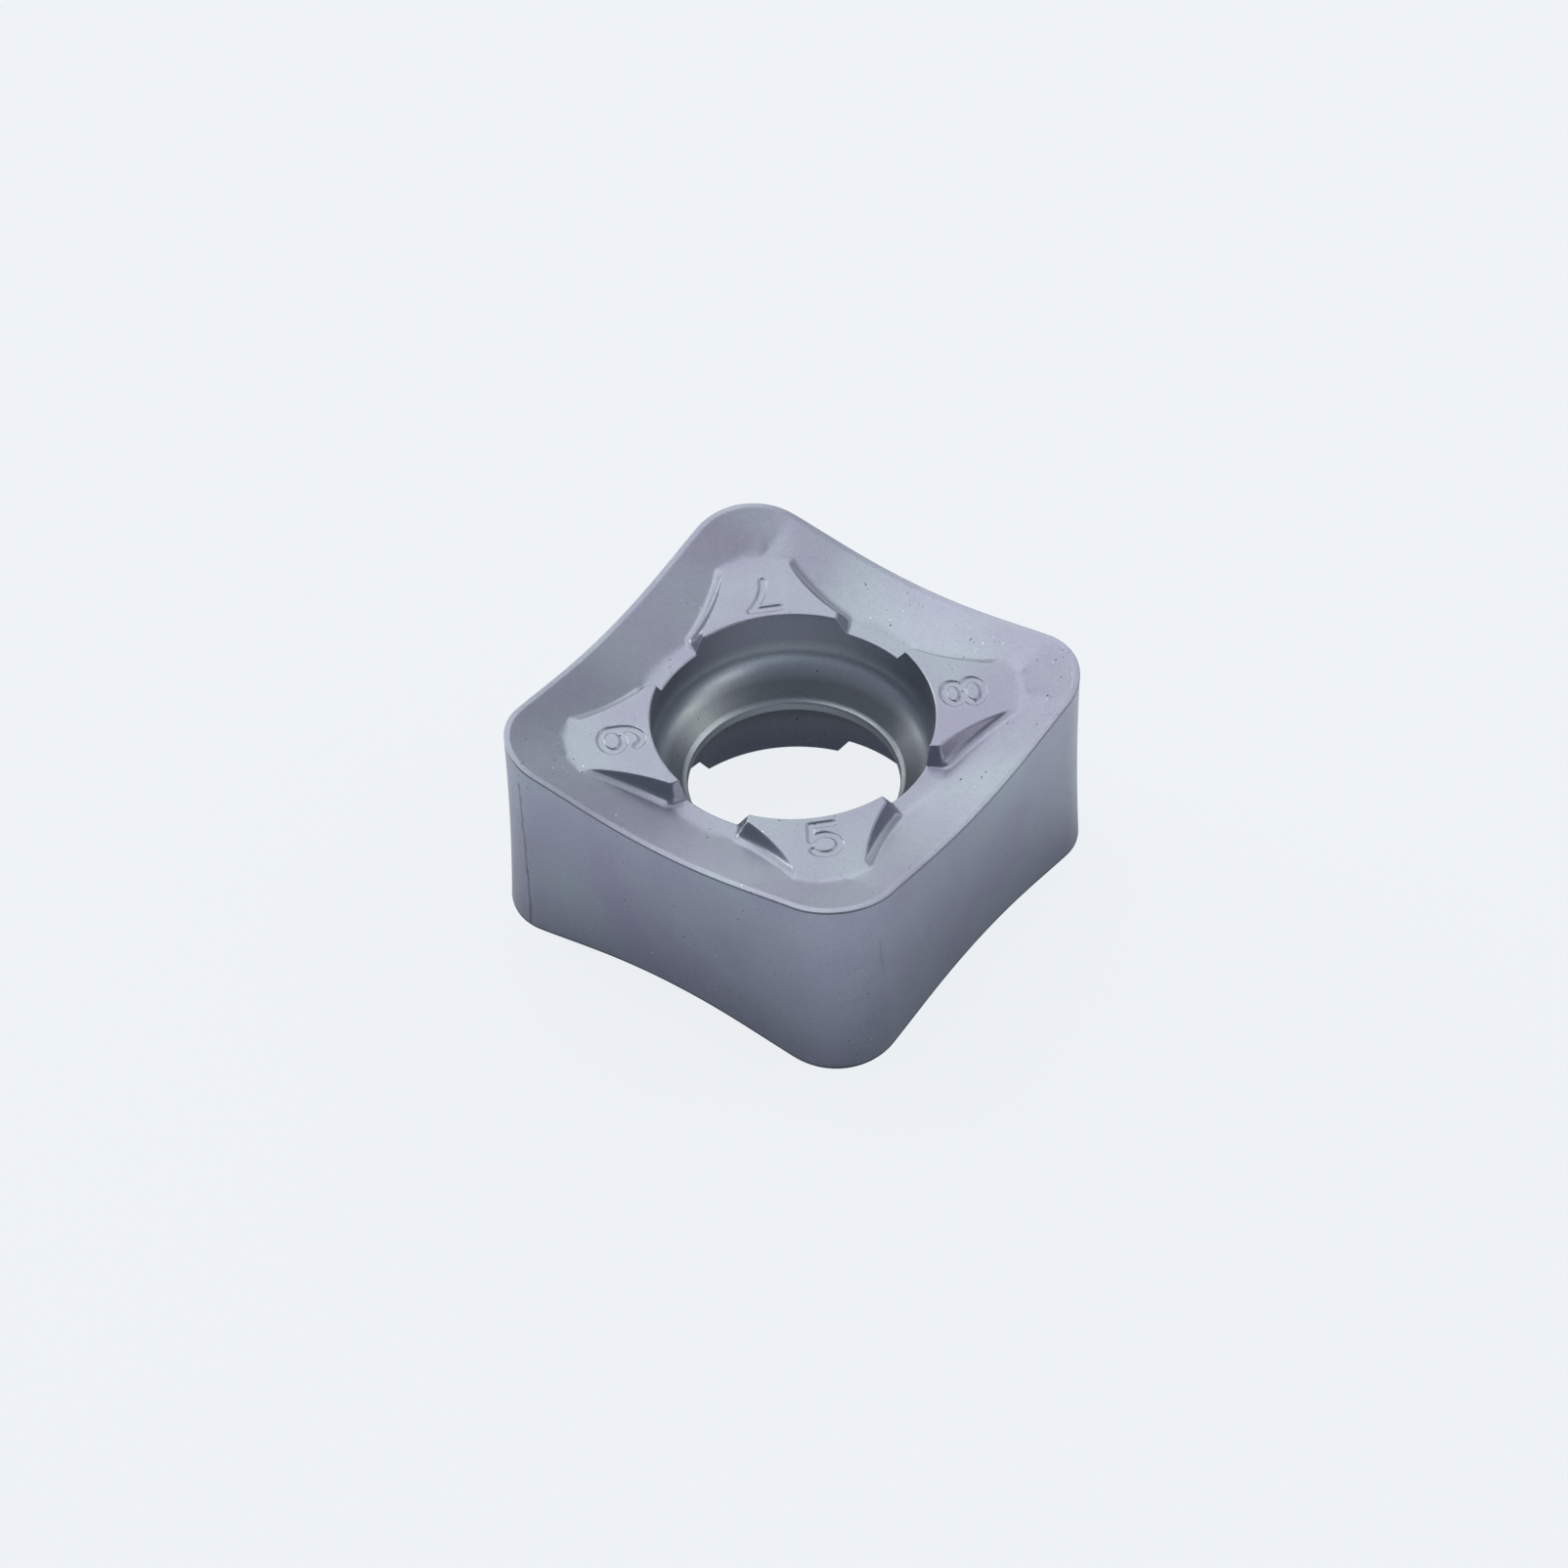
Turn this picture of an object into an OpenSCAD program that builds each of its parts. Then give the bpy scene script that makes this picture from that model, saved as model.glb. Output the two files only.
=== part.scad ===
// Square double-sided milling insert, pressed and sintered in one piece.
// Both faces carry the same chip former: a wavy cutting edge with a narrow land, a rake face that
// falls inward from it, four raised seat pads with sloping walls, and a shallow valley between each
// pair of pads. A stepped and tapered hole for the clamping screw runs through the middle.
// Millimetres. The origin is the middle of the insert and the hole runs along Z.

/* [Body] */
// Width across two opposite flanks
body_width = 12.7; // [12:0.05:13.4]
// Height between the corner tips of the two faces
body_height = 6.35; // [5.6:0.05:7]
// Radius of the four corners, seen from above
corner_radius = 2; // [1.2:0.05:2.6]
// How far each flank is drawn in at mid height
flank_waist = 0.055; // [0:0.005:0.15]

/* [Cutting edge] */
// Dip of the edge from the corner tip to the middle of a side
edge_dip = 0.61; // [0.2:0.01:0.9]
// How far the edge lies under a plain wave at its quarter points
edge_sag = 0.04; // [0:0.005:0.08]
// Width of the land behind the edge
land_width = 0.17; // [0.08:0.01:0.3]
// Fall of the land toward the hole, in degrees
land_angle = 1; // [0:0.5:10]

/* [Rake face] */
// Fall of the rake face at the middle of a side, in degrees
side_rake_angle = 13.3; // [8:0.1:18]
// Fall of the rake face at a corner tip, in degrees
corner_rake_angle = 17.6; // [12:0.1:20]
// How late along the edge the rake face steepens
rake_growth = 3.3; // [1:0.1:6]

/* [Seat pads] */
// Depth of the pad faces under the corner tips
pad_depth = 0.485; // [0.4:0.005:0.6]
// Depth of the valleys under the pad faces
valley_depth = 0.51; // [0.3:0.01:0.7]
// Slope of the hollow pad walls at their top, in degrees
pad_wall_angle = 65; // [55:1:72]
// Slope of those walls at the valley floor, in degrees
pad_foot_angle = 26; // [18:1:40]
// Slope of a pad's end walls at the hole, in degrees
pad_end_slope = 57; // [45:1:70]
// Distance from the rim of the hole to the shoulder of a pad
pad_shoulder_gap = 0.27; // [0.1:0.01:0.5]
// Place of a pad's shoulder round the hole, in degrees from the corner diagonal
pad_shoulder_angle = 27.3; // [20:0.1:32]
// Distance from a corner tip to the toe of its pad, along the diagonal
pad_toe_inset = 1.79; // [1.5:0.01:2.2]
// Half width of a pad at its toe
pad_toe_half = 0.89; // [0.6:0.01:1.2]
// Radius of the hollow sides of a pad
pad_side_radius = 6; // [3:0.1:12]
// Direction of a pad's end walls at the hole, in degrees from the corner diagonal
pad_end_angle = 17; // [12:1:30]

/* [Screw hole] */
// Width of the ring between the hole's wide ends and the flanks
ring_width = 2.35; // [2:0.01:2.8]
// Step from the hole's wide ends to its waist
seat_step = 1; // [0.7:0.01:1.3]
// Length of the straight part of the waist
waist_length = 0.2; // [0.1:0.01:0.6]
// Radius of the rounded edges of the waist
waist_rounding = 0.07; // [0.03:0.01:0.12]
// Width of the ledge round the waist, from its edge to the foot of a tapered seat
ledge_width = 0.13; // [0.08:0.01:0.2]
// Slope of that ledge from the axis of the hole, in degrees
ledge_angle = 66; // [58:1:75]
// Slope of the tapered seats from the axis of the hole, in degrees
seat_angle = 46.5; // [40:0.5:55]
// Radius of the fillet between a tapered seat and the wide end
seat_fillet = 1; // [0.4:0.05:1.2]
// Width of the broken edge where the hole meets the pads
rim_break = 0.05; // [0.02:0.01:0.12]

/* [Part] */
// Piece to show

/* [Hidden] */
// Overrun of cuts and of solids that are sunk into others
overrun = 0.6;
// Distance from the edge to which the rake face is carried, under the pads and valleys
rake_reach = 0.95 * corner_radius;
// Extra width of the valley floor, past the place where the rake face meets it
floor_margin = 0.2;
// Distance past its toe to which a pad's side is carried, inside the rake face
toe_margin = 0.5;
// Depth to which a pad is sunk under the valley floor
pad_root = 0.1;

half_width = body_width / 2;
tip_z = body_height / 2;
pad_z = tip_z - pad_depth;
valley_z = pad_z - valley_depth;
mid_edge_z = tip_z - edge_dip;
flat_half = half_width - corner_radius;
edge_half_length = flat_half + corner_radius * PI / 2 / 2;
corner_tip = flat_half * sqrt(2) + corner_radius;
rim_radius = half_width - ring_width;
waist_radius = rim_radius - seat_step;

// Steps along one straight flank, round one corner, along a pad's hollow side and down its wall
flat_steps = 20;
corner_steps = 12;
pad_side_steps = 9;
pad_wall_steps = 4;
hole_steps = 72;
arc_steps = 48;

// Heights of the flank stations as shares of the edge height, and the waist there
flank_height_shares = [1, 0.5, 0, -0.5, -1];
flank_waist_shares = [0, 0.75, 1, 0.75, 0];

body_colour = [0.56, 0.58, 0.64];

// A place on the outline of one quarter: the point, the direction inward and the share of the way
// from the middle of a side to the corner tip
function flat_place(u) = [[u, -half_width], [0, 1], abs(u) / edge_half_length];

function corner_place(turn) =
    let (run = flat_half + corner_radius * min(turn, 90 - turn) * PI / 180)
    [
        [flat_half + corner_radius * sin(turn), -flat_half - corner_radius * cos(turn)],
        [-sin(turn), cos(turn)],
        run / edge_half_length
    ];

quarter_places = concat(
    [for (i = [0 : flat_steps]) flat_place(flat_half * (2 * i / flat_steps - 1))],
    [for (i = [1 : corner_steps - 1]) corner_place(90 * i / corner_steps)]
);

function turned(v, a) = [v.x * cos(a) - v.y * sin(a), v.x * sin(a) + v.y * cos(a)];

places = [
    for (k = [0 : 3])
        for (p = quarter_places)
            [turned(p[0], 90 * k), turned(p[1], 90 * k), p[2]]
];

// Height of the cutting edge and fall of the rake face at a share of the way to the corner tip
function edge_z(share) =
    tip_z - edge_dip * (1 + cos(180 * share)) / 2 - edge_sag * (1 - cos(360 * share)) / 2;

function rake_angle(share) =
    side_rake_angle + (corner_rake_angle - side_rake_angle) * pow(share, rake_growth);

function land_z(share) = edge_z(share) - land_width * tan(land_angle);

function rake_z(share) = land_z(share) - (rake_reach - land_width) * tan(rake_angle(share));

// The section at one place, from the foot of the upper rake face down to that of the lower one,
// as pairs of distance inward and height
function section(share) = concat(
    [[rake_reach, rake_z(share)], [land_width, land_z(share)]],
    [
        for (i = [0 : len(flank_height_shares) - 1])
            [flank_waist * flank_waist_shares[i], edge_z(share) * flank_height_shares[i]]
    ],
    [[land_width, -land_z(share)], [rake_reach, -rake_z(share)]]
);

// Body with its flanks, lands and rake faces, without pads, valleys and hole
module blank() {
    count = len(places);
    sections = [for (p = places) section(p[2])];
    levels = len(sections[0]);
    rings = [
        for (level = [0 : levels - 1])
            for (i = [0 : count - 1])
                let (at = places[i][0] + places[i][1] * sections[i][level][0])
                [at.x, at.y, sections[i][level][1]]
    ];
    walls = [
        for (level = [0 : levels - 2])
            for (i = [0 : count - 1])
                let (
                    j = (i + 1) % count,
                    a = level * count + i,
                    b = level * count + j,
                    c = a + count,
                    d = b + count
                )
                each [[a, b, d], [a, d, c]]
    ];
    top = levels * count;
    bottom = top + 1;
    last = (levels - 1) * count;
    caps = [
        for (i = [0 : count - 1])
            let (j = (i + 1) % count)
            each [[top, j, i], [bottom, last + i, last + j]]
    ];
    middle = valley_z - overrun;
    polyhedron(concat(rings, [[0, 0, middle], [0, 0, -middle]]), concat(walls, caps), convexity = 6);
}

// Flat ground of the valleys on both faces, down to the foot of the rake faces
module valley_floor() {
    foot = half_width - land_width
        - (mid_edge_z - land_width * tan(land_angle) - valley_z) / tan(side_rake_angle);
    side = 2 * (foot + floor_margin);
    cube([side, side, 2 * valley_z], center = true);
}

// Corner between a pad's end wall at the hole and its hollow side
function pad_shoulder() =
    (rim_radius + pad_shoulder_gap) * [cos(pad_shoulder_angle), sin(pad_shoulder_angle)];

// Points of the hollow pad side from the shoulder past the toe, on a circle outside the pad
function pad_side() =
    let (
        shoulder = pad_shoulder(),
        toe = [corner_tip - pad_toe_inset, pad_toe_half],
        chord = toe - shoulder,
        along = chord / norm(chord),
        out = [-along.y, along.x],
        half_chord = norm(chord) / 2,
        centre = (shoulder + toe) / 2 + out * sqrt(pow(pad_side_radius, 2) - pow(half_chord, 2)),
        start = atan2(shoulder.y - centre.y, shoulder.x - centre.x),
        sweep = 2 * asin(half_chord / pad_side_radius) + toe_margin / pad_side_radius * 180 / PI
    )
    [
        for (i = [0 : pad_side_steps])
            centre + pad_side_radius * [
                cos(start + sweep * i / pad_side_steps),
                sin(start + sweep * i / pad_side_steps)
            ]
    ];

// Half outline of a pad, from inside the hole to a place inside the rake face
function pad_half_outline() =
    let (shoulder = pad_shoulder())
    concat(
        [[waist_radius, shoulder.y - (shoulder.x - waist_radius) * tan(pad_end_angle)]],
        pad_side()
    );

function mirrored_outline(half) = concat(
    [for (i = [len(half) - 1 : -1 : 0]) half[i]],
    [for (p = half) [p.x, -p.y]]
);

// The outline moved outward, each of its edges by its own distance, with its corners kept
function spread_outline(points, distances) =
    let (n = len(points))
    [
        for (i = [0 : n - 1])
            let (
                before = points[i] - points[(i + n - 1) % n],
                after = points[(i + 1) % n] - points[i],
                out_before = [before.y, -before.x] / norm(before),
                out_after = [after.y, -after.x] / norm(after),
                near = distances[(i + n - 1) % n],
                far = distances[i],
                lean = out_before * out_after
            )
            points[i] + (
                near == far
                ? near * (out_before + out_after) / (1 + lean)
                : ((near - lean * far) * out_before + (far - lean * near) * out_after)
                    / (1 - lean * lean)
            )
    ];

// Drop and run of a pad's hollow wall at each of its levels, from the pad's face to its root
pad_wall_radius = valley_depth / (cos(pad_foot_angle) - cos(pad_wall_angle));
pad_wall_hollow = [
    for (i = [0 : pad_wall_steps])
        let (slope = pad_wall_angle + (pad_foot_angle - pad_wall_angle) * i / pad_wall_steps)
        pad_wall_radius * [cos(slope) - cos(pad_wall_angle), sin(pad_wall_angle) - sin(slope)]
];
pad_wall_levels = concat(
    pad_wall_hollow,
    [pad_wall_hollow[pad_wall_steps] + pad_root * [1, 1 / tan(pad_foot_angle)]]
);

// One seat pad on the upper face, along the +X axis, with hollow walls that widen downward
module pad() {
    top = mirrored_outline(pad_half_outline());
    n = len(top);
    levels = len(pad_wall_levels);
    rings = [
        for (level = pad_wall_levels)
            let (
                end_run = level[0] / tan(pad_end_slope),
                distances = [
                    for (i = [0 : n - 1])
                        i == n - 1
                        ? 0
                        : i == pad_side_steps || i == pad_side_steps + 2 ? end_run : level[1]
                ]
            )
            [for (p = spread_outline(top, distances)) [p.x, p.y, pad_z - level[0]]]
    ];
    walls = [
        for (level = [0 : levels - 2])
            for (i = [0 : n - 1])
                let (j = (i + 1) % n, a = level * n)
                [a + i, a + j, a + n + j, a + n + i]
    ];
    upper = [[for (i = [n - 1 : -1 : 0]) i]];
    lower = [[for (i = [0 : n - 1]) (levels - 1) * n + i]];
    polyhedron([for (ring = rings) each ring], concat(walls, upper, lower), convexity = 6);
}

module pads() {
    for (face = [0, 1], k = [0 : 3])
        mirror([0, 0, face])
            rotate([0, 0, 45 + 90 * k])
                pad();
}

// Half section of the hole above the middle: waist, ledge, tapered seat, fillet and wide end
module hole_half_section() {
    waist_z = waist_length / 2;
    ledge = [sin(ledge_angle), cos(ledge_angle)];
    taper = [sin(seat_angle), cos(seat_angle)];
    lower_run = waist_rounding * tan(ledge_angle / 2);
    upper_run = seat_fillet * tan(seat_angle / 2);
    lower = [waist_radius, waist_z + lower_run];
    foot = lower + ledge * ledge_width / ledge.x;
    upper = [rim_radius, foot.y + (rim_radius - foot.x) / tan(seat_angle)];
    difference() {
        polygon([
            [0, 0],
            [waist_radius, 0],
            [waist_radius, waist_z],
            lower + lower_run * ledge,
            foot,
            upper - upper_run * taper,
            [rim_radius, upper.y + upper_run],
            [rim_radius, pad_z - rim_break],
            [rim_radius + rim_break + overrun, pad_z + overrun],
            [0, pad_z + overrun]
        ]);
        translate([waist_radius + waist_rounding, waist_z])
            circle(r = waist_rounding, $fn = arc_steps);
    }
    translate([rim_radius - seat_fillet, upper.y + upper_run])
        circle(r = seat_fillet, $fn = arc_steps);
}

module screw_hole() {
    rotate_extrude($fn = hole_steps)
        union() {
            hole_half_section();
            mirror([0, 1])
                hole_half_section();
        }
}

// The pressed form without its hole, brought to the overall size as one closed skin
module pressed_form() {
    resize([body_width, body_width, body_height])
        union() {
            blank();
            valley_floor();
            pads();
        }
}

module insert_body() {
    color(body_colour)
        difference() {
            pressed_form();
            screw_hole();
        }
}

insert_body();
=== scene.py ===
import bpy
import numpy as np
from functools import partial
from math import atan2, ceil, cos, hypot, pi, radians, sin, sqrt, tan
from mathutils import Matrix, Vector
from mathutils.geometry import delaunay_2d_cdt


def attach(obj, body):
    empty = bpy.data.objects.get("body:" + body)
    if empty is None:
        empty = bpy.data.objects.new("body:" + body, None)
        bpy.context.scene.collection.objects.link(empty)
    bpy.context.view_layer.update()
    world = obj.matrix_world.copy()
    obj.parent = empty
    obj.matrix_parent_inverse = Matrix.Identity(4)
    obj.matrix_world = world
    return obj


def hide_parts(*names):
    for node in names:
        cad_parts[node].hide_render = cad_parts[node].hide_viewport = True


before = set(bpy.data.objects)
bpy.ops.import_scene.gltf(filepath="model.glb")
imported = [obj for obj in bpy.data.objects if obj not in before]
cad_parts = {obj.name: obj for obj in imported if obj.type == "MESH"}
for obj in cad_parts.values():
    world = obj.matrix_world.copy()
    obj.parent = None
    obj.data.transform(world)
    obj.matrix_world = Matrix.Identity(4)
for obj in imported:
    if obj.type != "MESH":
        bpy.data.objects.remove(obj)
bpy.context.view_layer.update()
print("frame loaded")

mm = 0.001

# Sizes in millimetres and angles in degrees. They are the solid's own, with the small roundings
# that pressing, sintering and honing leave on every edge.
insertSizes = {
    "width": 12.7,
    "height": 6.35,
    "cornerRadius": 2.0,
    "flankWaist": 0.055,
    "edgeDip": 0.61,
    "edgeSag": 0.04,
    "honeRadius": 0.02,
    "landWidth": 0.17,
    "landAngle": 1.0,
    "sideRakeAngle": 13.3,
    "cornerRakeAngle": 17.6,
    "rakeGrowth": 5.5,
    "padDepth": 0.485,
    "valleyDepth": 0.51,
    "padWallAngle": 58.0,
    "padFootAngle": 21.0,
    "padFootWidth": 0.24,
    "padToeRise": 0.2,
    "padHollowShare": 0.28,
    "padEndSlope": 57.0,
    "padShoulderGap": 0.27,
    "padShoulderAngle": 27.3,
    "padToeInset": 1.79,
    "padToeHalf": 0.89,
    "padSideRadius": 6.0,
    "padEndAngle": 17.0,
    "ringWidth": 2.35,
    "seatStep": 1.0,
    "waistLength": 0.2,
    "seatAngle": 46.5,
    "seatFillet": 1.0,
    "ledgeAngle": 66.0,
    "ledgeRun": 0.1,
    "ledgeRounding": 0.07,
    "rimBreak": 0.05,
}

# Blends between neighbouring faces, as heights over which they merge, in millimetres
blendHeights = {
    "Land blend": 0.006,
    "Valley blend": 0.03,
    "Pad edge blend": 0.04,
    "Pad ridge blend": 0.02,
    "Pad foot blend": 0.02,
    "Pad toe blend": 0.075,
}

# Index numbers, sunk into the pads with a flat floor
numeralSizes = {
    "middleOut": 4.87,
    "halfHeight": 0.565,
    "widthShare": 0.8,
    "strokeWidth": 0.26,
    "wallRun": 0.05,
    "depth": 0.04,
    "upper": [8, 7, 6, 5],
    "lower": [1, 2, 3, 4],
}

# Mesh points, in millimetres: steps along the rows, the rows' distances from the feature that they
# follow, and the least gaps between points. Levels are shares of the way along a section.
meshSizes = {
    "cell": 0.08,
    "borderSteps": 16,
    "edgeStep": 0.13,
    "edgeRows": (0.05, 0.1, 0.145, 0.17, 0.195, 0.23, 0.29, 0.39, 0.53),
    "edgeGap": 0.016,
    "rimStep": 0.07,
    "rimFineness": 2.4,
    "rimFineTurn": (-0.05, 0.17),
    "rimRows": (0.02, 0.045, 0.09, 0.15),
    "rimGap": 0.014,
    "wallStep": 0.07,
    "wallRows": (-0.1, -0.05, -0.02, 0.01, 0.04, 0.08, 0.13, 0.19, 0.25, 0.3, 0.35, 0.41, 0.47, 0.53, 0.6),
    "wallGap": 0.022,
    "wallTolerance": 1e-4,
    "sideReach": 3.3,
    "sideLead": 0.12,
    "endReach": (-0.6, 0.9),
    "toeStep": 0.08,
    "toeRows": (-0.22, -0.13, -0.07, -0.03, 0.0, 0.03, 0.07, 0.13, 0.22),
    "toeGap": 0.025,
    "toeReach": 2.2,
    "numeralStep": 0.026,
    "numeralGapShare": 0.9,
    "numeralMargin": 0.08,
    "fillStep": 0.17,
    "fillGapShare": 0.6,
    "fillStart": 2.8,
    "sliceMargin": 0.03,
    "triangleTolerance": 1e-5,
    "honeSteps": 4,
    "flankLevels": (0.985, 0.97, 0.9, 0.75, 0.6, 0.45, 0.3, 0.15, 0.0),
    "rimLevels": (0.985, 0.75, 0.5, 0.25, 0.03, 0.0),
    "filletSteps": 9,
    "seatLevels": (0.6, 0.2, 0.05, 0.0),
    "ledgeSteps": 6,
    "weldDistance": 0.001,
}

# What each vertex of the slice carries: its place in plan, then its height's base, the share of
# the face's height that it follows, and its drop below that
sliceFields = ("inset", "share", "sideWall", "endWall", "base", "follow", "drop")


def polarPoint(radius, angle, centre=(0.0, 0.0)):
    return (centre[0] + radius * cos(angle), centre[1] + radius * sin(angle))


def ellipseArc(centre, radii, start, end, steps=24):
    angles = np.radians(np.linspace(start, end, steps + 1))
    return [(centre[0] + radii[0] * cos(a), centre[1] + radii[1] * sin(a)) for a in angles]


def quadraticCurve(start, middle, end, steps=16):
    points = []
    for t in np.linspace(0.0, 1.0, steps + 1):
        near, bend, far = (1 - t) ** 2, 2 * t * (1 - t), t ** 2
        points.append(tuple(near * a + bend * b + far * c for a, b, c in zip(start, middle, end)))
    return points


# Middle lines of the numerals in units of their half height, x to the right and y up
def numeralStrokes():
    return {
        1: [[(-0.38, 0.62), (0.08, 1.0), (0.08, -1.0)]],
        2: [ellipseArc((0.0, 0.4), (0.66, 0.6), 165, -25)
            + quadraticCurve((0.55, 0.06), (0.2, -0.4), (-0.68, -1.0)),
            [(-0.68, -1.0), (0.7, -1.0)]],
        3: [ellipseArc((0.0, 0.5), (0.62, 0.5), 155, -90)
            + ellipseArc((0.0, -0.5), (0.72, 0.5), 90, -155)],
        4: [[(0.34, -1.0), (0.34, 1.0), (-0.72, -0.42), (0.76, -0.42)]],
        5: [[(0.62, 1.0), (-0.5, 1.0), (-0.62, 0.02)],
            ellipseArc((-0.02, -0.34), (0.74, 0.66), 146, -150, 32)],
        6: [ellipseArc((0.05, 0.5), (0.58, 0.54), 20, 90)
            + ellipseArc((0.05, 0.0), (0.8, 1.04), 92, 180)
            + [(-0.75, -0.45)],
            ellipseArc((0.0, -0.45), (0.75, 0.57), 180, -180, 40)],
        7: [[(-0.7, 1.0), (0.76, 1.0)],
            quadraticCurve((0.76, 1.0), (-0.1, 0.1), (-0.18, -1.0))],
        8: [ellipseArc((0.0, 0.53), (0.7, 0.47), 0, 360, 36),
            ellipseArc((0.0, -0.47), (0.8, 0.53), 0, 360, 36)],
    }


# Plan of one pad's slice of a face: the quarter of the insert between the middles of two sides.
# Its x axis runs from the hole out to the corner tip. All values here are in millimetres.
class SlicePlan:
    def __init__(self, sizes):
        self.half = sizes["width"] / 2
        self.cornerRadius = sizes["cornerRadius"]
        self.flatHalf = self.half - self.cornerRadius
        self.cornerCentre = self.flatHalf * sqrt(2)
        self.cornerTip = self.cornerCentre + self.cornerRadius
        self.edgeHalf = self.flatHalf + self.cornerRadius * pi / 4
        self.rim = self.half - sizes["ringWidth"]
        self.waist = self.rim - sizes["seatStep"]
        self.shoulder = np.array(polarPoint(
            self.rim + sizes["padShoulderGap"], radians(sizes["padShoulderAngle"])))
        toe = np.array([self.cornerTip - sizes["padToeInset"], sizes["padToeHalf"]])
        chord = toe - self.shoulder
        halfChord = np.linalg.norm(chord) / 2
        out = np.array([-chord[1], chord[0]]) / (2 * halfChord)
        self.sideRadius = sizes["padSideRadius"]
        self.sideCentre = (self.shoulder + toe) / 2 + out * sqrt(self.sideRadius ** 2 - halfChord ** 2)
        endAngle = radians(sizes["padEndAngle"])
        self.endNormal = np.array([-sin(endAngle), cos(endAngle)])
        self.endAlong = np.array([cos(endAngle), sin(endAngle)])

    # A place on the outline at a distance along it from the corner tip: point and inward direction
    def edgePlace(self, run):
        side = 1 if run >= 0 else -1
        run = abs(run)
        turn = min(run / self.cornerRadius, pi / 4)
        x, y = polarPoint(self.cornerRadius, turn, (self.cornerCentre, 0.0))
        rest = max(run - self.cornerRadius * pi / 4, 0.0)
        x, y = x - rest * sqrt(0.5), y + rest * sqrt(0.5)
        return np.array([x, side * y]), np.array([-cos(turn), -side * sin(turn)])

    # Distance inward from the edge and distance along it from the side's middle
    def edgeMeasures(self, x, y):
        along, outward = (x - y) * sqrt(0.5), (x + y) * sqrt(0.5)
        du, dv = along - self.flatHalf, outward - self.flatHalf
        inCorner = (du > 0) & (dv > 0)
        turn = np.arctan2(np.where(inCorner, du, 0.0), np.where(inCorner, dv, 1.0))
        inset = np.where(inCorner, self.cornerRadius - np.hypot(du, dv), self.half - outward)
        return inset, np.where(inCorner, self.flatHalf + self.cornerRadius * turn, along)

    # Distance inward from the edge and share of the way from a side's middle to the corner tip
    def edgeDistances(self, points):
        inset, run = self.edgeMeasures(points[:, 0], np.abs(points[:, 1]))
        return inset, np.clip(run / self.edgeHalf, 0.0, 1.0)

    # Distances outward from the pad's hollow side and from its end wall at the hole
    def wallDistances(self, points):
        folded = np.stack([points[:, 0], np.abs(points[:, 1])], axis=1)
        side = self.sideRadius - np.linalg.norm(folded - self.sideCentre, axis=1)
        end = (folded - self.shoulder) @ self.endNormal
        return side, end


# Distances of points to a numeral's strokes, with the numeral's top toward the hole
def strokeDistances(points, strokes):
    out = np.full(len(points), 1.0)
    scale = numeralSizes["halfHeight"]
    for stroke in strokes:
        line = np.array([(numeralSizes["middleOut"] - y * scale, x * scale) for x, y in stroke])
        for start, end in zip(line[:-1], line[1:]):
            along = end - start
            t = np.clip(((points - start) @ along) / (along @ along), 0.0, 1.0)
            gap = points - start - t[:, None] * along
            out = np.minimum(out, np.hypot(gap[:, 0], gap[:, 1]))
    return out


# Keeps points at least a set distance from the points already kept
class SpacedPoints:
    def __init__(self, cell):
        self.cell = cell
        self.cells = {}
        self.points = []

    def add(self, point, gap):
        i, j = int(point[0] // self.cell), int(point[1] // self.cell)
        reach = int(ceil(gap / self.cell))
        for m in range(i - reach, i + reach + 1):
            for n in range(j - reach, j + reach + 1):
                for other in self.cells.get((m, n), ()):
                    if hypot(other[0] - point[0], other[1] - point[1]) < gap:
                        return False
        self.cells.setdefault((i, j), []).append((point[0], point[1]))
        self.points.append((point[0], point[1]))
        return True


# Places along the edge from one side's middle to the next, closer together round the corner
def edgeRuns(plan):
    count = 2 * int(ceil(plan.edgeHalf / meshSizes["edgeStep"]))
    return np.linspace(-plan.edgeHalf, plan.edgeHalf, count + 1)


# Angles round the hole's rim, closer together where the pad's end walls meet it
def rimAngles(plan):
    wallAngle = atan2(plan.shoulder[1], plan.shoulder[0])
    fineFrom, fineTo = (wallAngle + turn for turn in meshSizes["rimFineTurn"])
    coarse = meshSizes["rimStep"] / plan.rim
    fine = coarse / meshSizes["rimFineness"]
    marks = [0.0]
    while marks[-1] < pi / 4:
        marks.append(marks[-1] + (fine if fineFrom < marks[-1] < fineTo else coarse))
    marks = np.array(marks) * (pi / 4 / marks[-1])
    return np.concatenate([-marks[:0:-1], marks])


# Outline of the slice's face: along the edge, in to the hole, round its rim and out again
def faceOutline(plan, sizes):
    hone, rimTop = sizes["honeRadius"], plan.rim + sizes["rimBreak"]
    outline = []
    for run in edgeRuns(plan):
        point, inward = plan.edgePlace(run)
        outline.append(tuple(point + inward * hone))
    steps = np.linspace(0.0, 1.0, meshSizes["borderSteps"] + 1)[1:-1]
    radii = [(plan.half - hone) * (1 - step) + rimTop * step for step in steps]
    outline += [polarPoint(radius, pi / 4) for radius in radii]
    outline += [polarPoint(rimTop, angle) for angle in rimAngles(plan)[::-1]]
    outline += [polarPoint(radius, -pi / 4) for radius in radii[::-1]]
    return outline


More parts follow.
